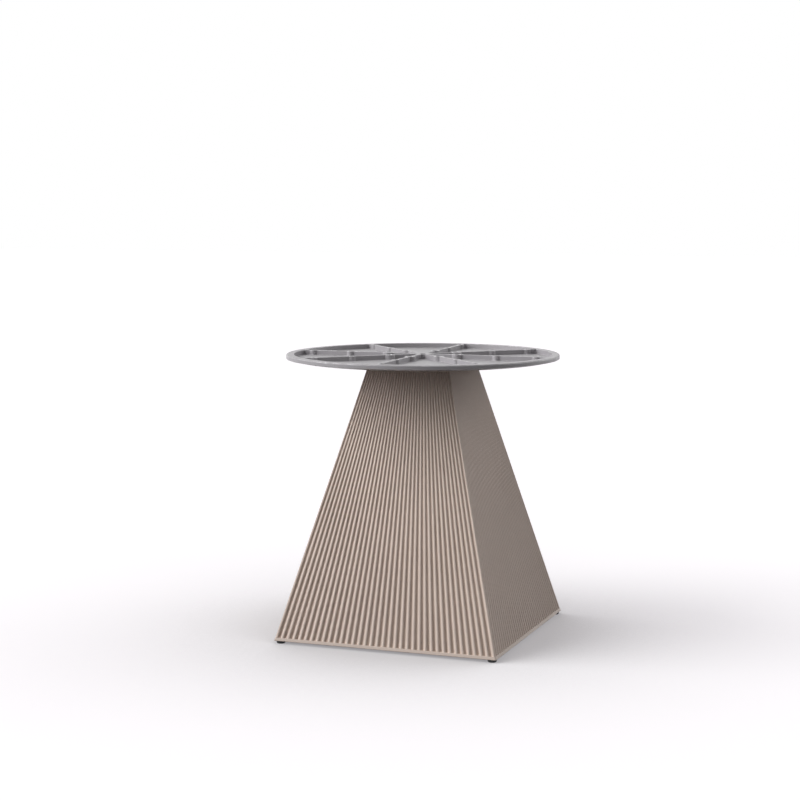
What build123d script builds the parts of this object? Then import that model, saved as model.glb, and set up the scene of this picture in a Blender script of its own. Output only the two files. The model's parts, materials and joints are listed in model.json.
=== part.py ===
from build123d import *
import os
from math import hypot

# Table base: a pleated pyramid moulding on four glides, with a ribbed support disc bolted on top.
# Millimetres, +Z up, origin on the floor under the middle of the base.

# Pyramid shell
base_width = 590.0            # across the plain rim, at its lower edge
top_width = 214.0             # across the shell under the disc
shell_height = 701.0          # from the rim's lower edge to the disc
rim_height = 8.5              # plain band below the pleats
rim_step = 0.3                # the band stands this far outside the pleat crests
wall = 4.0                    # behind the pleat valleys
corner_radius = 3.0
cavity_corner_radius = 8.0
deck_thickness = 6.0          # flat top that carries the disc

# Pleats, counted on each of the four faces
pleat_count = 36
pleat_depth = 5.0
crest_flat = 5.0
valley_flat = 2.0
corner_land = 0.9             # flat between a corner's rounding and the first crest

# Inside of the shell
pad_margin = 20.0             # solid corner pad, past the inner side of its glide
pad_cover = 10.0              # solid above the end of the glide's screw
deck_boss_wall = 4.0          # round each insert
deck_boss_floor = 4.0         # left below each insert

# Support disc
disc_diameter = 706.0
disc_thickness = 16.0
disc_floor = 4.0
rim_land = 20.0               # width of the raised outer ring
disc_under_bevel = 25.0       # width of the shallow slope under the edge
disc_under_rise = 5.0         # height of that slope
disc_top_bevel = 2.0
spoke_count = 8
spoke_width = 8.0
hub_diameter = 46.0
hub_bore = 18.0
pocket_corner_radius = 3.0    # where spokes, bosses and rim run into one another
boss_wall = 5.5
table_hole = 8.5
fixing_edge = 12.0            # from the side of the shell's top to a bolt's middle
table_hole_edge = 48.0        # from the edge of the disc to the outer ring of table holes

# Bolts, washers and threaded inserts between disc and deck
bolt_diameter = 8.0
bolt_hole = 9.0
bolt_head_diameter = 14.0
bolt_head_height = 4.4
bolt_head_bevel = 1.8
bolt_socket = 5.0             # across the flats
bolt_socket_depth = 2.6
bolt_end_gap = 1.0            # from the bolt's tip to the floor of the insert's hole
washer_diameter = 16.0
washer_thickness = 1.6
counterbore_clearance = 1.0
head_recess = 1.0             # from the top of the bolt's head to the top of the disc
insert_diameter = 12.0
insert_length = 16.0
fit_clearance = 0.1           # on the diameter, between pieces that fit in one another

# Glides and their screws
foot_diameter = 24.0
foot_height = 7.0
foot_taper = 1.5              # the glide's lower edge is this much further in
foot_bevel = 1.2
foot_edge = 2.0               # from the outside of the rim to the glide's edge
foot_screw_diameter = 5.0
foot_screw_grip = 20.0        # length inside the corner pad
foot_screw_head = 9.5
foot_screw_head_height = 2.8
foot_screw_head_bevel = 1.2
foot_screw_recess = 1.0       # from the screw's head to the floor
foot_screw_slot = 1.2
foot_screw_slot_depth = 1.4

# Worked out from the sizes above
apex_height = shell_height * base_width / (base_width - top_width)
pleat_width = base_width - 2 * rim_step
pleat_pitch = (pleat_width - 2 * (corner_radius + corner_land)) / pleat_count
wall_across = wall * hypot(1, (base_width - top_width) / 2 / shell_height)
foot_place = base_width / 2 - foot_edge - foot_diameter / 2
pad_width = foot_edge + foot_diameter + pad_margin
pad_height = foot_screw_grip + pad_cover
deck_level = foot_height + shell_height
disc_top = deck_level + disc_thickness
counterbore_diameter = washer_diameter + counterbore_clearance
counterbore_depth = head_recess + bolt_head_height + washer_thickness
deck_boss_diameter = insert_diameter + 2 * deck_boss_wall
deck_boss_drop = insert_length + deck_boss_floor - deck_thickness
fixing_boss_diameter = counterbore_diameter + 2 * boss_wall
table_boss_diameter = table_hole + 2 * boss_wall
fixing_ring_radius = top_width / 2 - fixing_edge
outer_ring_radius = disc_diameter / 2 - table_hole_edge
inner_ring_radius = (fixing_ring_radius + outer_ring_radius) / 2


def share_left(height):
    """Share of the width at the rim's lower edge that is left at a height above it."""
    return 1 - height / apex_height


def cavity_half(height):
    """Half of the width of the hollow, one wall behind the pleat valleys."""
    return (pleat_width / 2 - pleat_depth) * share_left(height) - wall_across


def square_frustum(low_half, high_half, low, high, radius):
    """Four-sided frustum with rounded corners between two heights."""
    bottom = Pos(0, 0, low) * RectangleRounded(2 * low_half, 2 * low_half, radius)
    top = Pos(0, 0, high) * RectangleRounded(2 * high_half, 2 * high_half, radius)
    return loft([bottom, top], ruled=True)


def ring_places(radius):
    """Places of the bosses on one ring of the disc, one on each spoke."""
    return [Rot(0, 0, 360 / spoke_count * k) * Pos(radius, 0, 0) for k in range(spoke_count)]


def corner_places():
    """Places of the four glides."""
    return [Pos(x * foot_place, y * foot_place, 0) for x in (-1, 1) for y in (-1, 1)]


def pleat_points(middle):
    """One pleat of the front face: the ends of its two flanks, from crest to valley to crest."""
    front = -pleat_width / 2
    crest_end = (pleat_pitch - crest_flat) / 2
    valley_end = valley_flat / 2
    return [
        (middle - crest_end, front),
        (middle - valley_end, front + pleat_depth),
        (middle + valley_end, front + pleat_depth),
        (middle + crest_end, front),
    ]


def front_edges():
    """The front face's outline: a land at each end, the pleats, and the corner on its right."""
    half = pleat_width / 2
    bend = half - corner_radius
    first = -bend + corner_land
    points = [(-bend, -half)]
    for k in range(pleat_count):
        points += pleat_points(first + (k + 0.5) * pleat_pitch)
    points.append((bend, -half))
    return Polyline(*points).edges() + [CenterArc((bend, -bend), corner_radius, -90, 90)]


def pleated_outline(height):
    """The pleated square at a height above the rim's lower edge."""
    sides = [Rot(0, 0, 90 * k) * edge for k in range(4) for edge in front_edges()]
    outline = make_face(Curve() + sides)
    return Pos(0, 0, height) * scale(outline, share_left(height))


def make_hollow():
    """The space inside the shell: a frustum less the corner pads and the deck's bosses."""
    deck_under = shell_height - deck_thickness
    cavity = square_frustum(
        cavity_half(0), cavity_half(deck_under), 0, deck_under, cavity_corner_radius
    )
    pad_middle = (base_width - pad_width) / 2
    pads = [
        Pos(x * pad_middle, y * pad_middle, pad_height / 2) * Box(pad_width, pad_width, pad_height)
        for x in (-1, 1)
        for y in (-1, 1)
    ]
    boss = Pos(0, 0, deck_under - deck_boss_drop / 2)
    boss *= Cylinder(deck_boss_diameter / 2, deck_boss_drop)
    bosses = [place * boss for place in ring_places(fixing_ring_radius)]
    return cavity - (pads + bosses)


def make_shell():
    """The pyramid, open at the bottom, with holes for the inserts and for the glides' screws."""
    rim_half = base_width / 2
    rim = square_frustum(rim_half, rim_half * share_left(rim_height), 0, rim_height, corner_radius)
    pleats = loft([pleated_outline(rim_height), pleated_outline(shell_height)], ruled=True)
    insert_hole = Pos(0, 0, shell_height - insert_length / 2)
    insert_hole *= Cylinder((insert_diameter + fit_clearance) / 2, insert_length)
    pilot_hole = Pos(0, 0, foot_screw_grip / 2)
    pilot_hole *= Cylinder((foot_screw_diameter + fit_clearance) / 2, foot_screw_grip)
    holes = [place * insert_hole for place in ring_places(fixing_ring_radius)]
    holes += [place * pilot_hole for place in corner_places()]
    shell = rim + pleats
    shell -= [make_hollow()] + holes
    return Pos(0, 0, foot_height) * shell


def make_disc():
    """The support disc: a plate with pockets that leave a raised rim, spokes, a hub and bored bosses."""
    radius = disc_diameter / 2
    section = Polyline(
        (0, 0),
        (radius - disc_under_bevel, 0),
        (radius, disc_under_rise),
        (radius, disc_thickness - disc_top_bevel),
        (radius - disc_top_bevel, disc_thickness),
        (0, disc_thickness),
        close=True,
    )
    plate = revolve(Plane.XZ * make_face(section), Axis.Z)

    fixing_places = ring_places(fixing_ring_radius)
    table_places = ring_places(inner_ring_radius) + ring_places(outer_ring_radius)
    spoke = Pos(radius / 2, 0, 0) * Rectangle(radius, spoke_width)
    raised = [Circle(hub_diameter / 2)]
    raised += [turn * spoke for turn in ring_places(0)]
    raised += [place * Circle(fixing_boss_diameter / 2) for place in fixing_places]
    raised += [place * Circle(table_boss_diameter / 2) for place in table_places]
    pockets = Circle(radius - rim_land) - raised
    pockets = fillet(pockets.vertices(), pocket_corner_radius)
    disc = plate - Pos(0, 0, disc_floor) * extrude(pockets, disc_thickness)

    middle = Pos(0, 0, disc_thickness / 2)
    counterbore = Pos(0, 0, disc_thickness - counterbore_depth / 2)
    counterbore *= Cylinder(counterbore_diameter / 2, counterbore_depth)
    holes = [middle * Cylinder(hub_bore / 2, disc_thickness)]
    for place in fixing_places:
        holes.append(place * middle * Cylinder(bolt_hole / 2, disc_thickness))
        holes.append(place * counterbore)
    for place in table_places:
        holes.append(place * middle * Cylinder(table_hole / 2, disc_thickness))
    disc -= holes
    return Pos(0, 0, deck_level) * disc


def make_inserts():
    """Threaded inserts set in the deck, flush with its top."""
    ring = Cylinder(insert_diameter / 2, insert_length)
    ring -= Cylinder((bolt_diameter + fit_clearance) / 2, insert_length)
    level = Pos(0, 0, deck_level - insert_length / 2)
    return Compound(children=[place * level * ring for place in ring_places(fixing_ring_radius)])


def make_washers():
    """Washers on the floors of the disc's counterbores."""
    ring = Cylinder(washer_diameter / 2, washer_thickness)
    ring -= Cylinder((bolt_diameter + fit_clearance) / 2, washer_thickness)
    level = Pos(0, 0, disc_top - counterbore_depth + washer_thickness / 2)
    return Compound(children=[place * level * ring for place in ring_places(fixing_ring_radius)])


def make_bolts():
    """Socket-head bolts with bevelled heads through the disc into the inserts."""
    under_head = disc_top - counterbore_depth + washer_thickness
    tip = deck_level - insert_length + bolt_end_gap
    length = under_head - tip
    head = Cylinder(
        bolt_head_diameter / 2, bolt_head_height, align=(Align.CENTER, Align.CENTER, Align.MIN)
    )
    head = chamfer(head.faces().sort_by(Axis.Z)[-1].edges(), bolt_head_bevel)
    socket = extrude(RegularPolygon(bolt_socket / 2, 6, major_radius=False), bolt_socket_depth)
    head -= Pos(0, 0, bolt_head_height - bolt_socket_depth) * socket
    bolt = head + Pos(0, 0, -length / 2) * Cylinder(bolt_diameter / 2, length)
    level = Pos(0, 0, under_head)
    return Compound(children=[place * level * bolt for place in ring_places(fixing_ring_radius)])


def make_foot():
    """A glide with a tapered, bevelled edge and a recess for its screw's head."""
    low_radius = foot_diameter / 2 - foot_taper
    bore = (foot_screw_diameter + fit_clearance) / 2
    recess = (foot_screw_head + counterbore_clearance) / 2
    recess_depth = foot_screw_recess + foot_screw_head_height
    section = Polyline(
        (bore, foot_height),
        (foot_diameter / 2, foot_height),
        (low_radius, 0),
        (recess, 0),
        (recess, recess_depth),
        (bore, recess_depth),
        close=True,
    )
    face = make_face(section)
    edge_point = face.vertices().sort_by_distance((low_radius, 0, 0))[0]
    face = chamfer(edge_point, foot_bevel)
    return revolve(Plane.XZ * face, Axis.Z)


def make_foot_screws():
    """Screws with bevelled heads that hold the glides to the corner pads."""
    head_top = foot_screw_recess + foot_screw_head_height
    length = foot_height - head_top + foot_screw_grip
    head = Cylinder(
        foot_screw_head / 2, foot_screw_head_height, align=(Align.CENTER, Align.CENTER, Align.MIN)
    )
    head = chamfer(head.faces().sort_by(Axis.Z)[0].edges(), foot_screw_head_bevel)
    slot = Box(foot_screw_head / 2, foot_screw_slot, 2 * foot_screw_slot_depth)
    head -= slot
    head -= Rot(0, 0, 90) * slot
    screw = Pos(0, 0, foot_screw_recess) * head
    screw += Pos(0, 0, head_top + length / 2) * Cylinder(foot_screw_diameter / 2, length)
    return Compound(children=[place * screw for place in corner_places()])


os.makedirs("parts", exist_ok=True)

export_step(make_shell(), "parts/pyramid_shell.step")
export_step(make_disc(), "parts/support_disc.step")
export_step(make_inserts(), "parts/deck_inserts.step")
export_step(make_washers(), "parts/disc_washers.step")
export_step(make_bolts(), "parts/disc_bolts.step")
export_step(make_foot_screws(), "parts/foot_screws.step")

foot_names = ("foot_front_left", "foot_back_left", "foot_front_right", "foot_back_right")
for name, place in zip(foot_names, corner_places()):
    export_step(place * make_foot(), f"parts/{name}.step")
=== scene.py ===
import json
from math import radians

import bmesh
import bpy
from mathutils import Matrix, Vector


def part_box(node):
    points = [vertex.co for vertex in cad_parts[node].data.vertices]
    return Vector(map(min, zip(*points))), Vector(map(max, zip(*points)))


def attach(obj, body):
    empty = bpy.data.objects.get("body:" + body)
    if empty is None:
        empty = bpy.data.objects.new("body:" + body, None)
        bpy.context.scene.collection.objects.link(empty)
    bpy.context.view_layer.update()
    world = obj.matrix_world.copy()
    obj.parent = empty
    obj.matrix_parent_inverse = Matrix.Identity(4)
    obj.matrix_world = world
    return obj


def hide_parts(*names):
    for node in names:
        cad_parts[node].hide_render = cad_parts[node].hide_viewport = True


bl_info = {
    "name": "Pleated table base",
    "version": (1, 0, 0),
    "blender": (4, 5, 0),
    "location": "View3D > Sidebar > Table base",
    "description": "Finishes a pleated pyramid table base with its support disc, glides and fasteners",
    "category": "Object",
}

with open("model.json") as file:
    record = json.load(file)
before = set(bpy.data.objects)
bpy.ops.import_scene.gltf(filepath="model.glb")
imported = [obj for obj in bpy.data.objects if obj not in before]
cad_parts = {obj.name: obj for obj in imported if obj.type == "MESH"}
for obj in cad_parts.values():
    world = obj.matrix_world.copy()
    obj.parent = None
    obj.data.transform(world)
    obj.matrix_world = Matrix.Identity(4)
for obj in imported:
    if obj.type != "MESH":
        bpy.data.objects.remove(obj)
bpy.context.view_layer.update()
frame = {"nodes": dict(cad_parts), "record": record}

MERGE_DISTANCE = 1e-6
FLAT_ANGLE = radians(0.4)
SHARP_ANGLE = radians(40)
EDGE_ANGLE = radians(25)
LONG_SHARE = 0.9
SEGMENTS = 3
RIM_SEGMENTS = 4
SMALL_SEGMENTS = 2
SENSOR_WIDTH = 36.0
WORN = "worn_edge"
CAD_NORMALS = "custom_normal"
WHITE = (1.0, 1.0, 1.0, 1.0)
# A colour mix node's sockets
MIX_COLOURS = (6, 7)
MIX_RESULT = 2
# Shares of the fine grain's own scale, then noise scales per metre
COARSE_SHARE = 0.3
COARSE_WEIGHT = 0.6
FLECK_SHARE = 0.08
WEAR_SCALE = 60.0
DUST_SCALE = 14.0
GROOVE_SCALE = 9.0

# How much lighter the shell's crests are painted: rubbed wear and a painted highlight together.
WEAR_AND_HIGHLIGHT_LIGHTER = 1.12
GLIDE_NODES = ("foot_front_left", "foot_back_left", "foot_front_right", "foot_back_right")


def slot_colour(slot):
    """The record's base colour of a material slot."""
    found = [m["base_color"] for m in frame["record"]["materials"] if m["slot"] == slot]
    return tuple(found[0][:3])


class ShellFinish(bpy.types.PropertyGroup):
    """Sizes and colours of the pleated shell."""

    colour: bpy.props.FloatVectorProperty(
        name="Colour", description="Colour of the moulding", subtype="COLOR", min=0, max=1,
        default=slot_colour("shell"),
    )
    # Groove colour: painted shade that darkens the pleats' valleys, where shade falls.
    valley_shade_colour: bpy.props.FloatVectorProperty(
        name="Groove colour", description="Colour of the dust in the valleys", subtype="COLOR",
        min=0, max=1, default=(0.50, 0.39, 0.32),
    )
    crest_round: bpy.props.FloatProperty(
        name="Crest rounding", description="Rounding of the pleats' crests at the bottom",
        default=0.0016, unit="LENGTH", subtype="DISTANCE",
    )
    valley_round: bpy.props.FloatProperty(
        name="Valley rounding", description="Rounding of the pleats' valleys at the bottom",
        default=0.0008, unit="LENGTH", subtype="DISTANCE",
    )
    rim_round: bpy.props.FloatProperty(
        name="Rim rounding", description="Rounding of the plain band's lower edge",
        default=0.002, unit="LENGTH", subtype="DISTANCE",
    )
    inner_round: bpy.props.FloatProperty(
        name="Inner rounding", description="Rounding of the lower edges inside the band",
        default=0.0008, unit="LENGTH", subtype="DISTANCE",
    )
    pleat_depth: bpy.props.FloatProperty(
        name="Pleat depth", description="Depth of a valley at the bottom",
        default=0.005, unit="LENGTH", subtype="DISTANCE",
    )
    apex_height: bpy.props.FloatProperty(
        name="Apex height", description="Where the pleats would meet, above the rim's lower edge",
        default=1.1, unit="LENGTH", subtype="DISTANCE",
    )
    grain: bpy.props.FloatProperty(
        name="Grain", description="Size of the moulded grain", default=0.0008, unit="LENGTH",
        subtype="DISTANCE",
    )
    roughness: bpy.props.FloatProperty(
        name="Roughness", description="Middle roughness of the moulding", subtype="FACTOR",
        min=0, max=1, default=0.42,
    )


class DiscFinish(bpy.types.PropertyGroup):
    """Sizes and colours of the support disc."""

    colour: bpy.props.FloatVectorProperty(
        name="Colour", description="Colour of the coated casting", subtype="COLOR", min=0, max=1,
        default=slot_colour("disc"),
    )
    bare_colour: bpy.props.FloatVectorProperty(
        name="Bare colour", description="Colour of the metal at worn edges", subtype="COLOR",
        min=0, max=1, default=(0.68, 0.68, 0.69),
    )
    dust_colour: bpy.props.FloatVectorProperty(
        name="Dust colour", description="Colour of the dust in the pockets", subtype="COLOR",
        min=0, max=1, default=(0.58, 0.57, 0.55),
    )
    edge_round: bpy.props.FloatProperty(
        name="Edge rounding", description="Rounding of the rim's, spokes' and bosses' edges",
        default=0.0006, unit="LENGTH", subtype="DISTANCE",
    )
    outer_round: bpy.props.FloatProperty(
        name="Outer rounding", description="Rounding of the disc's outermost edges",
        default=0.0009, unit="LENGTH", subtype="DISTANCE",
    )
    floor_round: bpy.props.FloatProperty(
        name="Pocket rounding", description="Rounding where the pockets' walls meet their floors",
        default=0.0012, unit="LENGTH", subtype="DISTANCE",
    )
    grain: bpy.props.FloatProperty(
        name="Grain", description="Size of the blasted grain", default=0.0011, unit="LENGTH",
        subtype="DISTANCE",
    )
    roughness: bpy.props.FloatProperty(
        name="Roughness", description="Middle roughness of the coating", subtype="FACTOR",
        min=0, max=1, default=0.36,
    )


class FittingFinish(bpy.types.PropertyGroup):
    """Sizes and colours of the glides and the fasteners."""

    glide_colour: bpy.props.FloatVectorProperty(
        name="Glide colour", description="Colour of the glides", subtype="COLOR", min=0, max=1,
        default=slot_colour("glides"),
    )
    steel_colour: bpy.props.FloatVectorProperty(
        name="Steel colour", description="Colour of bolts, washers and screws", subtype="COLOR",
        min=0, max=1, default=slot_colour("fasteners"),
    )
    brass_colour: bpy.props.FloatVectorProperty(
        name="Brass colour", description="Colour of the threaded inserts", subtype="COLOR",
        min=0, max=1, default=slot_colour("inserts"),
    )
    scuff_colour: bpy.props.FloatVectorProperty(
        name="Scuff colour", description="Colour of a glide's scuffed edges", subtype="COLOR",
        min=0, max=1, default=(0.11, 0.11, 0.11),
    )
    steel_shine: bpy.props.FloatVectorProperty(
        name="Steel shine", description="Colour of the steel's rubbed edges", subtype="COLOR",
        min=0, max=1, default=(0.75, 0.75, 0.76),
    )
    brass_shine: bpy.props.FloatVectorProperty(
        name="Brass shine", description="Colour of the brass's rubbed edges", subtype="COLOR",
        min=0, max=1, default=(0.85, 0.68, 0.38),
    )
    glide_round: bpy.props.FloatProperty(
        name="Glide rounding", description="Rounding of a glide's edges", default=0.0005,
        unit="LENGTH", subtype="DISTANCE",
    )
    head_round: bpy.props.FloatProperty(
        name="Head rounding", description="Rounding of a bolt head's bevel", default=0.0006,
        unit="LENGTH", subtype="DISTANCE",
    )
    small_round: bpy.props.FloatProperty(
        name="Small rounding", description="Rounding of washers and screw heads", default=0.0002,
        unit="LENGTH", subtype="DISTANCE",
    )


class StageSetup(bpy.types.PropertyGroup):
    """Floor, light and camera."""

    floor_size: bpy.props.FloatProperty(
        name="Floor size", description="Side of the floor", default=60.0, unit="LENGTH",
        subtype="DISTANCE",
    )
    floor_bounce: bpy.props.FloatProperty(
        name="Floor bounce", description="Share of light that the floor gives back to the object",
        subtype="FACTOR", min=0, max=1, default=0.06,
    )
    sky: bpy.props.FloatProperty(
        name="Sky", description="Even light from all round above the floor", subtype="FACTOR",
        min=0, max=1, default=0.13,
    )
    floor_cast: bpy.props.FloatProperty(
        name="Floor cast", description="How strongly the lamps' shadows show on the floor",
        subtype="FACTOR", min=0, max=1, default=0.4,
    )
    # The floor's glow, depth, least share and reach shape a painted shadow pool: the glow is faded by
    # ambient occlusion near the base.
    floor_glow: bpy.props.FloatProperty(
        name="Floor glow", description="Even light on the floor, held off near the foot of the base",
        subtype="FACTOR", min=0, max=1, default=0.76,
    )
    floor_tint: bpy.props.FloatVectorProperty(
        name="Floor tint", description="Colour of the floor's even light", subtype="COLOR",
        min=0, max=1, default=(1.0, 0.965, 1.0),
    )
    floor_depth: bpy.props.FloatProperty(
        name="Floor depth", description="How dark the floor gets at the foot of the base",
        default=1.8, min=0,
    )
    floor_least: bpy.props.FloatProperty(
        name="Floor least", description="Share of the even light that is left under the base",
        subtype="FACTOR", min=0, max=1, default=0.42,
    )
    floor_reach: bpy.props.FloatProperty(
        name="Floor reach", description="How far the base holds off the floor's even light",
        default=1.5, unit="LENGTH", subtype="DISTANCE",
    )
    key_power: bpy.props.FloatProperty(
        name="Key light", min=0,
        description="Strength of the light from the front left, in watts per square metre",
        default=3.12,
    )
    key_softness: bpy.props.FloatProperty(
        name="Key softness", description="Angle that the key light covers", default=radians(54),
        unit="ROTATION", subtype="ANGLE",
    )
    key_turn: bpy.props.FloatProperty(
        name="Key turn", description="Key light's turn to the left of the front face",
        default=radians(60), unit="ROTATION", subtype="ANGLE",
    )
    key_height: bpy.props.FloatProperty(
        name="Key height", description="Key light's angle above the floor", default=radians(30),
        unit="ROTATION", subtype="ANGLE",
    )
    back_power: bpy.props.FloatProperty(
        name="Back light", min=0,
        description="Strength of the light from the back right, in watts per square metre",
        default=1.16,
    )
    back_softness: bpy.props.FloatProperty(
        name="Back softness", description="Angle that the back light covers", default=radians(60),
        unit="ROTATION", subtype="ANGLE",
    )
    back_turn: bpy.props.FloatProperty(
        name="Back turn", description="Back light's turn to the left of the front face",
        default=radians(-130), unit="ROTATION", subtype="ANGLE",
    )
    back_height: bpy.props.FloatProperty(
        name="Back height", description="Back light's angle above the floor", default=radians(18),
        unit="ROTATION", subtype="ANGLE",
    )
    camera_place: bpy.props.FloatVectorProperty(
        name="Camera place", description="Camera position", subtype="TRANSLATION",
        unit="LENGTH", default=(1.6230, -4.5414, 1.1288),
    )
    camera_turn: bpy.props.FloatProperty(
        name="Camera turn", description="Camera's turn about the vertical", default=radians(20.367),
        unit="ROTATION", subtype="ANGLE",
    )
    camera_dip: bpy.props.FloatProperty(
        name="Camera dip", description="Camera's angle below the horizon", default=radians(6.227),
        unit="ROTATION", subtype="ANGLE",
    )
    lens: bpy.props.FloatProperty(
        name="Lens", description="Focal length on a 36 mm sensor, in millimetres", default=84.15,
    )


def put(tree, kind, inputs=None, **options):
    """Adds a node, sets its options, and fills its inputs with values or links."""
    made = tree.nodes.new(kind)
    for name, value in options.items():
        setattr(made, name, value)
    for key, value in (inputs or {}).items():
        if isinstance(value, bpy.types.NodeSocket):
            tree.links.new(value, made.inputs[key])
        else:
            made.inputs[key].default_value = value
    return made


def maths(tree, operation, *values, clamp=False):
    """Output of a Math node on the given values or sockets."""
    inputs = dict(enumerate(values))
    return put(tree, "ShaderNodeMath", inputs, operation=operation, use_clamp=clamp).outputs[0]


def mix_colours(tree, share, first, second, blend="MIX"):
    """Output of a colour mix."""
    inputs = {0: share, MIX_COLOURS[0]: first, MIX_COLOURS[1]: second}
    made = put(tree, "ShaderNodeMix", inputs, data_type="RGBA", blend_type=blend)
    return made.outputs[MIX_RESULT]


def spread(tree, value, low, high, to_low, to_high):
    """Maps a value from one range to another, and holds it there."""
    inputs = {"Value": value, "From Min": low, "From Max": high, "To Min": to_low, "To Max": to_high}
    return put(tree, "ShaderNodeMapRange", inputs, clamp=True).outputs[0]


def noise(tree, scale, detail=2.0, rough=0.5):
    """Noise on the piece's own coordinates, in metres."""
    place = put(tree, "ShaderNodeTexCoord").outputs["Object"]
    inputs = {"Vector": place, "Scale": scale, "Detail": detail, "Roughness": rough}
    return put(tree, "ShaderNodeTexNoise", inputs, noise_dimensions="3D").outputs["Fac"]


def patches(tree, scale, detail, rough, low, high):
    """Soft patches of noise: 0 where it is below low, 1 where it is above high."""
    return spread(tree, noise(tree, scale, detail, rough), low, high, 0.0, 1.0)


def vary(tree, mask, middle, change):
    """A value that swings about its middle as a mask goes from 0 to 1."""
    return maths(tree, "MULTIPLY_ADD", mask, change, middle - change / 2)


def rgba(colour):
    """A colour property with full opacity."""
    return (*colour, 1.0)


def start_group(name, inputs, outputs):
    """A new shader group with named sockets. Returns the group, its inputs and its output node."""
    group = bpy.data.node_groups.new(name, "ShaderNodeTree")
    kinds = {"colour": "NodeSocketColor", "value": "NodeSocketFloat"}
    for socket, kind in inputs.items():
        group.interface.new_socket(socket, in_out="INPUT", socket_type=kinds[kind])
    for socket, kind in outputs.items():
        group.interface.new_socket(socket, in_out="OUTPUT", socket_type=kinds[kind])
    ends = put(group, "NodeGroupOutput")
    return group, put(group, "NodeGroupInput").outputs, ends


def make_grain_group():
    """Fine grain of a moulded, blasted or plated skin."""
    outputs = {"Height": "value", "Fleck": "value"}
    group, given, ends = start_group("fine_grain", {"Size": "value"}, outputs)
    scale = maths(group, "DIVIDE", 1.0, given["Size"])
    fine = noise(group, scale, detail=3.0, rough=0.6)
    coarse = noise(group, maths(group, "MULTIPLY", scale, COARSE_SHARE))
    height = maths(group, "MULTIPLY_ADD", coarse, COARSE_WEIGHT, fine)
    fleck_scale = maths(group, "MULTIPLY", scale, FLECK_SHARE)
    fleck = patches(group, fleck_scale, detail=4.0, rough=0.6, low=0.35, high=0.65)
    group.links.new(height, ends.inputs["Height"])
    group.links.new(fleck, ends.inputs["Fleck"])
    return group


def make_drift_group():
    """Slow change of tone over a surface."""
    sockets = {"Colour": "colour", "Patch Size": "value", "Amount": "value"}
    group, given, ends = start_group("tone_drift", sockets, {"Colour": "colour"})
    drift = noise(group, maths(group, "DIVIDE", 1.0, given["Patch Size"]), detail=3.0)
    shift = maths(group, "SUBTRACT", drift, 0.5)
    tone = maths(group, "MULTIPLY_ADD", shift, given["Amount"], 1.0)
    shifted = put(group, "ShaderNodeHueSaturation", {"Color": given["Colour"], "Value": tone})
    group.links.new(shifted.outputs[0], ends.inputs["Colour"])
    return group


def make_worn_and_highlit_group():
    """Edges rubbed bright, where a piece's own mark says that it has an edge; on the shell's crests the
    lighter colour is also a painted highlight.
    """
    sockets = {"Colour": "colour", "Worn Colour": "colour", "Amount": "value"}
    group, given, ends = start_group("worn_and_highlit_edges", sockets, {"Colour": "colour", "Mask": "value"})
    edge = put(group, "ShaderNodeAttribute", attribute_name=WORN).outputs["Fac"]
    rubbed = patches(group, WEAR_SCALE, detail=4.0, rough=0.65, low=0.4, high=0.7)
    mask = maths(group, "MULTIPLY", maths(group, "MULTIPLY", edge, rubbed), given["Amount"])
    worn = mix_colours(group, mask, given["Colour"], given["Worn Colour"])
    group.links.new(worn, ends.inputs["Colour"])
    group.links.new(mask, ends.inputs["Mask"])
    return group


def make_dust_group():
    """Thin dust on what faces up."""
    sockets = {"Colour": "colour", "Dust Colour": "colour", "Amount": "value"}
    group, given, ends = start_group("settled_dust", sockets, {"Colour": "colour", "Mask": "value"})
    normal = put(group, "ShaderNodeNewGeometry").outputs["Normal"]
    upward = put(group, "ShaderNodeSeparateXYZ", {0: normal}).outputs["Z"]
    facing = spread(group, upward, 0.7, 1.0, 0.0, 1.0)
    settled = patches(group, DUST_SCALE, detail=5.0, rough=0.6, low=0.35, high=0.7)
    mask = maths(group, "MULTIPLY", maths(group, "MULTIPLY", facing, settled), given["Amount"])
    dusty = mix_colours(group, mask, given["Colour"], given["Dust Colour"])
    group.links.new(dusty, ends.inputs["Colour"])
    group.links.new(mask, ends.inputs["Mask"])
    return group


def shared(name):
    """One of the shader groups that the materials share, made the first time it is asked for."""
    makers = {
        "fine_grain": make_grain_group,
        "tone_drift": make_drift_group,
        "worn_and_highlit_edges": make_worn_and_highlit_group,
        "settled_dust": make_dust_group,
    }
    return bpy.data.node_groups.get(name) or makers[name]()


def place_group(tree, name, inputs):
    """Places a shared group in a material and returns its outputs."""
    return put(tree, "ShaderNodeGroup", inputs, node_tree=shared(name)).outputs


def start_material(name):
    """A new material with its node tree and shader."""
    material = bpy.data.materials.new(name)
    material.use_nodes = True
    tree = material.node_tree
    return material, tree, tree.nodes["Principled BSDF"]


def add_bump(tree, shader, height, strength, distance):
    """Feeds a height to the shader's normal."""
    inputs = {"Height": height, "Strength": strength, "Distance": distance}
    bump = put(tree, "ShaderNodeBump", inputs)
    tree.links.new(bump.outputs[0], shader.inputs["Normal"])


def pleat_fold(tree, finish):
    """How deep a point lies in the pleats: 0 on the crests, 1 in the valleys."""
    low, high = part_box("pyramid_shell")
    half = (high[0] - low[0]) / 2
    place = put(tree, "ShaderNodeTexCoord").outputs["Object"]
    x, y, z = put(tree, "ShaderNodeSeparateXYZ", {0: place}).outputs
    outward = maths(tree, "MAXIMUM", maths(tree, "ABSOLUTE", x), maths(tree, "ABSOLUTE", y))
    below_apex = maths(tree, "SUBTRACT", low[2] + finish.apex_height, z)
    share = maths(tree, "DIVIDE", below_apex, finish.apex_height)
    depth = maths(tree, "SUBTRACT", half, maths(tree, "DIVIDE", outward, share))
    return maths(tree, "DIVIDE", depth, finish.pleat_depth, clamp=True)


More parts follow.
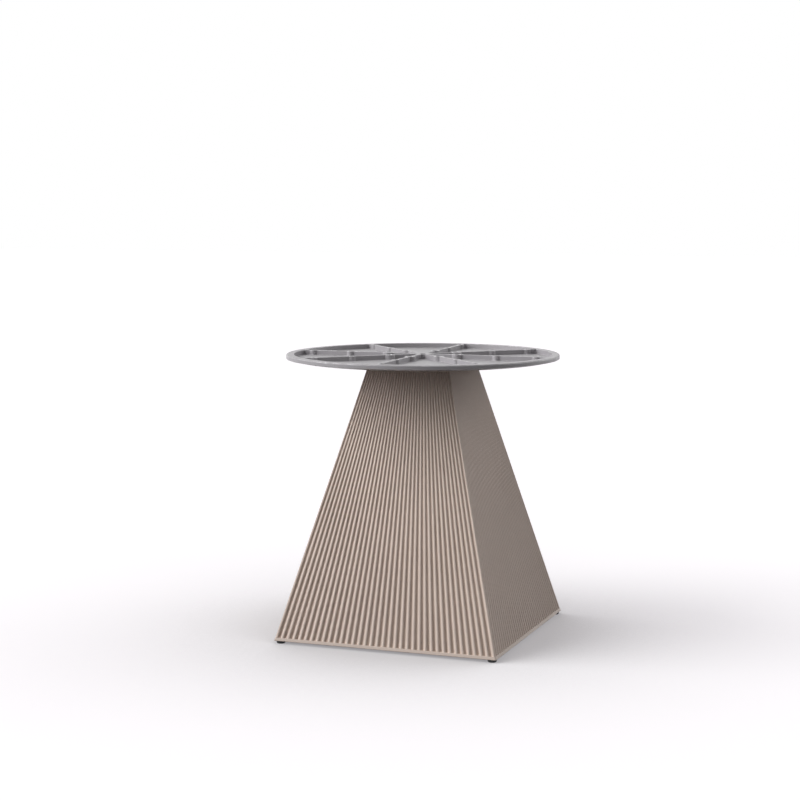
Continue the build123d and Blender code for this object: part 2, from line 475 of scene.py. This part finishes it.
def make_shell_material(finish):
    """Matte taupe moulding: fine grain, a slow drift of tone, painted shade in the valleys, and crests
    painted lighter as rubbed wear and painted highlight.
    """
    material, tree, shader = start_material("taupe_moulding")
    drift = place_group(
        tree, "tone_drift", {"Colour": rgba(finish.colour), "Patch Size": 0.16, "Amount": 0.10}
    )
    grain = place_group(tree, "fine_grain", {"Size": finish.grain})
    fold = pleat_fold(tree, finish)
    # Patches of painted shade, deepest in the pleats' valleys.
    dust = spread(tree, noise(tree, GROOVE_SCALE, detail=4.0), 0.3, 0.7, 0.15, 0.6)
    painted_valley_shade = maths(tree, "MULTIPLY", maths(tree, "POWER", fold, 2.0), dust)
    colour = mix_colours(tree, painted_valley_shade, drift["Colour"], rgba(finish.valley_shade_colour))
    # The crests' lighter colour is part rubbed wear and part painted highlight on the lit crests.
    light = [min(1.0, part * WEAR_AND_HIGHLIGHT_LIGHTER) for part in finish.colour]
    worn = place_group(tree, "worn_and_highlit_edges", {"Colour": colour, "Worn Colour": rgba(light), "Amount": 0.7})
    flecked = vary(tree, grain["Fleck"], finish.roughness, 0.10)
    roughness = maths(tree, "MULTIPLY_ADD", painted_valley_shade, 0.2, flecked)
    tree.links.new(worn["Colour"], shader.inputs["Base Color"])
    tree.links.new(roughness, shader.inputs["Roughness"])
    add_bump(tree, shader, grain["Height"], strength=0.4, distance=0.0002)
    return material


def make_disc_material(finish):
    """Grey coated casting: blasted grain, thin dust in the pockets, bare metal at rubbed edges."""
    material, tree, shader = start_material("grey_casting")
    drift = place_group(
        tree, "tone_drift", {"Colour": rgba(finish.colour), "Patch Size": 0.09, "Amount": 0.12}
    )
    dust = place_group(
        tree, "settled_dust",
        {"Colour": drift["Colour"], "Dust Colour": rgba(finish.dust_colour), "Amount": 0.25},
    )
    worn = place_group(
        tree, "worn_and_highlit_edges",
        {"Colour": dust["Colour"], "Worn Colour": rgba(finish.bare_colour), "Amount": 0.8},
    )
    grain = place_group(tree, "fine_grain", {"Size": finish.grain})
    flecked = vary(tree, grain["Fleck"], finish.roughness, 0.14)
    roughness = maths(tree, "MULTIPLY_ADD", dust["Mask"], 0.3, flecked)
    tree.links.new(worn["Colour"], shader.inputs["Base Color"])
    tree.links.new(worn["Mask"], shader.inputs["Metallic"])
    tree.links.new(roughness, shader.inputs["Roughness"])
    add_bump(tree, shader, grain["Height"], strength=0.5, distance=0.0004)
    return material


def make_glide_material(finish):
    """Near-black moulded plastic, scuffed at its edges."""
    material, tree, shader = start_material("black_glide")
    drift = place_group(
        tree, "tone_drift", {"Colour": rgba(finish.glide_colour), "Patch Size": 0.008, "Amount": 0.5}
    )
    worn = place_group(
        tree, "worn_and_highlit_edges",
        {"Colour": drift["Colour"], "Worn Colour": rgba(finish.scuff_colour), "Amount": 0.7},
    )
    grain = place_group(tree, "fine_grain", {"Size": 0.0005})
    roughness = vary(tree, grain["Fleck"], middle=0.52, change=0.2)
    tree.links.new(worn["Colour"], shader.inputs["Base Color"])
    tree.links.new(roughness, shader.inputs["Roughness"])
    add_bump(tree, shader, grain["Height"], strength=0.3, distance=0.0001)
    return material


def make_metal_material(name, colour, bright, grain_size, middle_roughness):
    """Plated or turned metal with a drift of tone, fine grain and rubbed edges."""
    material, tree, shader = start_material(name)
    drift = place_group(
        tree, "tone_drift", {"Colour": rgba(colour), "Patch Size": 0.006, "Amount": 0.35}
    )
    worn = place_group(
        tree, "worn_and_highlit_edges", {"Colour": drift["Colour"], "Worn Colour": rgba(bright), "Amount": 0.8}
    )
    grain = place_group(tree, "fine_grain", {"Size": grain_size})
    roughness = vary(tree, grain["Fleck"], middle_roughness, 0.16)
    tree.links.new(worn["Colour"], shader.inputs["Base Color"])
    tree.links.new(roughness, shader.inputs["Roughness"])
    shader.inputs["Metallic"].default_value = 1.0
    add_bump(tree, shader, grain["Height"], strength=0.2, distance=0.00005)
    return material


def merged_copy(node):
    """A bmesh of a CAD node with its loose triangles joined and its flat faces made whole."""
    bm = bmesh.new()
    bm.from_mesh(frame["nodes"][node].data)
    bm.faces.layers.float.new(WORN)
    bmesh.ops.remove_doubles(bm, verts=bm.verts, dist=MERGE_DISTANCE)
    bmesh.ops.dissolve_limit(bm, angle_limit=FLAT_ANGLE, verts=bm.verts, edges=bm.edges)
    return bm


def corner_edges(bm, sign, test=None):
    """Edges where two faces meet at a clear angle: sign 1 for outer edges, -1 for inner ones."""
    found = []
    for edge in bm.edges:
        if not edge.is_manifold:
            continue
        if sign * edge.calc_face_angle_signed(0.0) > EDGE_ANGLE and (test is None or test(edge)):
            found.append(edge)
    return found


def round_edges(bm, edges, width, worn=0.0, segments=SEGMENTS):
    """Rounds edges and marks the new faces as worn."""
    mark = bm.faces.layers.float[WORN]
    result = bmesh.ops.bevel(
        bm, geom=edges, offset=width, offset_type="OFFSET", segments=segments, profile=0.5,
        affect="EDGES", clamp_overlap=True, material=-1,
    )
    for face in result["faces"]:
        face[mark] = worn


def finish_piece(bm, name, material, node):
    """Makes a piece of a bmesh, in place of its CAD node."""
    mesh = bpy.data.meshes.new(name)
    bm.to_mesh(mesh)
    bm.free()
    normals = mesh.attributes.get(CAD_NORMALS)
    if normals:
        mesh.attributes.remove(normals)
    mesh.shade_smooth()
    mesh.set_sharp_from_angle(angle=SHARP_ANGLE)
    mesh.materials.append(material)
    piece = bpy.data.objects.new(name, mesh)
    bpy.context.scene.collection.objects.link(piece)
    even = piece.modifiers.new("Even shading", "WEIGHTED_NORMAL")
    even.keep_sharp = True
    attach(piece, "root")
    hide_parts(node)


def middle_radius(edge):
    """Distance of an edge's middle from the base's axis."""
    middle = (edge.verts[0].co + edge.verts[1].co) / 2
    return middle.xy.length


class TABLEBASE_OT_shell(bpy.types.Operator):
    """Rounds the pleats and edges of the shell and gives it its matte moulded finish"""

    bl_idname = "table_base.shell"
    bl_label = "Pleated shell"

    def execute(self, context):
        finish = context.scene.table_base_shell
        low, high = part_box("pyramid_shell")
        long_edge = LONG_SHARE * (high[2] - low[2])
        bm = merged_copy("pyramid_shell")

        def taper(power):
            for vert in bm.verts:
                share = (1 - (vert.co.z - low[2]) / finish.apex_height) ** power
                vert.co.x *= share
                vert.co.y *= share

        def runs_up(edge):
            return abs(edge.verts[0].co.z - edge.verts[1].co.z) > long_edge

        def at_foot(edge):
            return all(vert.co.z - low[2] < MERGE_DISTANCE for vert in edge.verts)

        def at_rim(edge):
            reach = min(max(abs(vert.co.x), abs(vert.co.y)) for vert in edge.verts)
            return at_foot(edge) and reach > high[0] - finish.pleat_depth / 2

        taper(-1)
        # Crest faces get the full edge mark, which the shell's material paints lighter as wear and
        # highlight.
        round_edges(bm, corner_edges(bm, 1, runs_up), finish.crest_round, worn=1.0)
        round_edges(bm, corner_edges(bm, -1, runs_up), finish.valley_round)
        taper(1)
        round_edges(bm, corner_edges(bm, 1, at_rim), finish.rim_round, 0.5, RIM_SEGMENTS)
        round_edges(bm, corner_edges(bm, 1, at_foot), finish.inner_round, segments=SMALL_SEGMENTS)
        finish_piece(bm, "shell_moulding", make_shell_material(finish), "pyramid_shell")
        return {"FINISHED"}


class TABLEBASE_OT_disc(bpy.types.Operator):
    """Rounds the disc's edges and gives it its coated cast finish"""

    bl_idname = "table_base.disc"
    bl_label = "Support disc"

    def execute(self, context):
        finish = context.scene.table_base_disc
        low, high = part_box("support_disc")
        outermost = high[0] - (high[2] - low[2]) / 2
        bm = merged_copy("support_disc")

        def at_rim(edge):
            return middle_radius(edge) > outermost

        def at_top(edge):
            return all(vert.co.z > high[2] - MERGE_DISTANCE for vert in edge.verts)

        def at_floor(edge):
            bottom, top = low[2] + MERGE_DISTANCE, high[2] - MERGE_DISTANCE
            return all(bottom < vert.co.z < top for vert in edge.verts)

        round_edges(bm, corner_edges(bm, 1, at_rim), finish.outer_round, worn=0.5)
        round_edges(bm, corner_edges(bm, 1, at_top), finish.edge_round, worn=1.0)
        round_edges(bm, corner_edges(bm, -1, at_floor), finish.floor_round)
        finish_piece(bm, "disc_casting", make_disc_material(finish), "support_disc")
        return {"FINISHED"}


class TABLEBASE_OT_glides(bpy.types.Operator):
    """Rounds the glides' edges and gives them their black finish"""

    bl_idname = "table_base.glides"
    bl_label = "Glides"

    def execute(self, context):
        finish = context.scene.table_base_fittings
        material = make_glide_material(finish)
        for node in GLIDE_NODES:
            bm = merged_copy(node)
            round_edges(bm, corner_edges(bm, 1), finish.glide_round, worn=1.0)
            finish_piece(bm, node.replace("foot", "glide"), material, node)
        return {"FINISHED"}


class TABLEBASE_OT_fasteners(bpy.types.Operator):
    """Rounds the bolts, washers and screws and gives them and the inserts their metal finishes"""

    bl_idname = "table_base.fasteners"
    bl_label = "Fasteners"

    def execute(self, context):
        finish = context.scene.table_base_fittings
        steel = make_metal_material(
            "zinc_steel", finish.steel_colour, finish.steel_shine,
            grain_size=0.0006, middle_roughness=0.34,
        )
        brass = make_metal_material(
            "turned_brass", finish.brass_colour, finish.brass_shine,
            grain_size=0.0006, middle_roughness=0.3,
        )
        pieces = (
            ("disc_bolts", "bolt_set", finish.head_round, steel, "fasteners"),
            ("disc_washers", "washer_set", finish.small_round, steel, "fasteners"),
            ("foot_screws", "glide_screw_set", finish.small_round, steel, "fasteners"),
            ("deck_inserts", "insert_set", finish.small_round, brass, "inserts"),
        )
        for node, name, width, material, slot in pieces:
            bm = merged_copy(node)
            round_edges(bm, corner_edges(bm, 1), width, 1.0, SMALL_SEGMENTS)
            finish_piece(bm, name, material, node)
        return {"FINISHED"}


def seen_directly(tree):
    """1 for what the camera sees, also in a reflection or through glass, and 0 for light that bounces."""
    path = put(tree, "ShaderNodeLightPath").outputs
    seen = maths(tree, "MAXIMUM", path["Is Camera Ray"], path["Is Glossy Ray"])
    return maths(tree, "MAXIMUM", seen, path["Is Transmission Ray"])


def make_floor_material(stage):
    """White floor with a soft shadow: its even glow is faded at the foot by ambient occlusion into a
    painted shadow pool, and little of it bounces.
    """
    material = bpy.data.materials.new("white_floor")
    material.use_nodes = True
    tree = material.node_tree
    tree.nodes.remove(tree.nodes["Principled BSDF"])
    seen = seen_directly(tree)
    colour = mix_colours(tree, seen, rgba([stage.floor_bounce] * 3), rgba([stage.floor_cast] * 3))
    paint = put(tree, "ShaderNodeBsdfDiffuse", {"Color": colour}).outputs[0]
    reach = {"Distance": stage.floor_reach}
    # Painted shadow pool: the floor's glow is faded by its ambient occlusion near the base.
    open_share = put(tree, "ShaderNodeAmbientOcclusion", reach).outputs["AO"]
    painted_pool = maths(tree, "POWER", open_share, stage.floor_depth)
    painted_pool_limited = maths(tree, "MAXIMUM", painted_pool, stage.floor_least)
    even = maths(tree, "MULTIPLY", painted_pool_limited, stage.floor_glow)
    strength = maths(tree, "MULTIPLY", seen, even)
    tint = rgba(stage.floor_tint)
    glow = put(tree, "ShaderNodeEmission", {"Color": tint, "Strength": strength}).outputs[0]
    floor = put(tree, "ShaderNodeAddShader", {0: paint, 1: glow}).outputs[0]
    tree.links.new(floor, tree.nodes["Material Output"].inputs["Surface"])
    return material


def make_world(stage):
    """White all round where it is seen, and a weak even light."""
    world = bpy.data.worlds.new("studio")
    world.use_nodes = True
    tree = world.node_tree
    background = tree.nodes["Background"]
    background.inputs["Color"].default_value = WHITE
    strength = maths(tree, "MAXIMUM", seen_directly(tree), stage.sky)
    tree.links.new(strength, background.inputs["Strength"])
    return world


def add_lamp(name, power, softness, turn, height):
    """A broad, distant lamp, aimed at the base from a turn and a height."""
    light = bpy.data.lights.new(name, "SUN")
    light.energy = power
    light.angle = softness
    lamp = bpy.data.objects.new(name, light)
    lamp.rotation_euler = (radians(90) - height, 0, -turn)
    bpy.context.scene.collection.objects.link(lamp)


class TABLEBASE_OT_stage(bpy.types.Operator):
    """Adds the floor, the light and the camera"""

    bl_idname = "table_base.stage"
    bl_label = "Stage"

    def execute(self, context):
        stage = context.scene.table_base_stage
        bm = bmesh.new()
        bmesh.ops.create_grid(bm, x_segments=1, y_segments=1, size=stage.floor_size / 2)
        mesh = bpy.data.meshes.new("studio_floor")
        bm.to_mesh(mesh)
        bm.free()
        mesh.materials.append(make_floor_material(stage))
        floor = bpy.data.objects.new("studio_floor", mesh)
        context.scene.collection.objects.link(floor)

        context.scene.world = make_world(stage)
        add_lamp("key_light", stage.key_power, stage.key_softness, stage.key_turn, stage.key_height)
        add_lamp("back_light", stage.back_power, stage.back_softness, stage.back_turn, stage.back_height)

        lens = bpy.data.cameras.new("camera")
        lens.lens = stage.lens
        lens.sensor_width = SENSOR_WIDTH
        camera = bpy.data.objects.new("camera", lens)
        camera.location = stage.camera_place
        camera.rotation_euler = (radians(90) - stage.camera_dip, 0, stage.camera_turn)
        context.scene.collection.objects.link(camera)
        context.scene.camera = camera
        context.scene.view_settings.view_transform = "Standard"
        return {"FINISHED"}


class TABLEBASE_PT_sidebar(bpy.types.Panel):
    """Lists the pieces of the table base with their sizes and colours"""

    bl_label = "Table base"
    bl_idname = "TABLEBASE_PT_sidebar"
    bl_space_type = "VIEW_3D"
    bl_region_type = "UI"
    bl_category = "Table base"

    def draw(self, context):
        for operator in OPERATORS:
            self.layout.operator(operator.bl_idname)
        for name, group in SETTINGS.items():
            box = self.layout.box()
            box.label(text=group.__doc__)
            for prop in group.__annotations__:
                box.prop(getattr(context.scene, name), prop)


SETTINGS = {
    "table_base_shell": ShellFinish,
    "table_base_disc": DiscFinish,
    "table_base_fittings": FittingFinish,
    "table_base_stage": StageSetup,
}
OPERATORS = (
    TABLEBASE_OT_shell,
    TABLEBASE_OT_disc,
    TABLEBASE_OT_glides,
    TABLEBASE_OT_fasteners,
    TABLEBASE_OT_stage,
)


def register():
    for cls in (*SETTINGS.values(), *OPERATORS, TABLEBASE_PT_sidebar):
        bpy.utils.register_class(cls)
    for name, group in SETTINGS.items():
        setattr(bpy.types.Scene, name, bpy.props.PointerProperty(type=group))


def unregister():
    for name in SETTINGS:
        delattr(bpy.types.Scene, name)
    for cls in (TABLEBASE_PT_sidebar, *reversed(OPERATORS), *SETTINGS.values()):
        bpy.utils.unregister_class(cls)


def main():
    register()
    bpy.ops.table_base.shell()
    bpy.ops.table_base.disc()
    bpy.ops.table_base.glides()
    bpy.ops.table_base.fasteners()
    bpy.ops.table_base.stage()


if __name__ == "__main__":
    main()
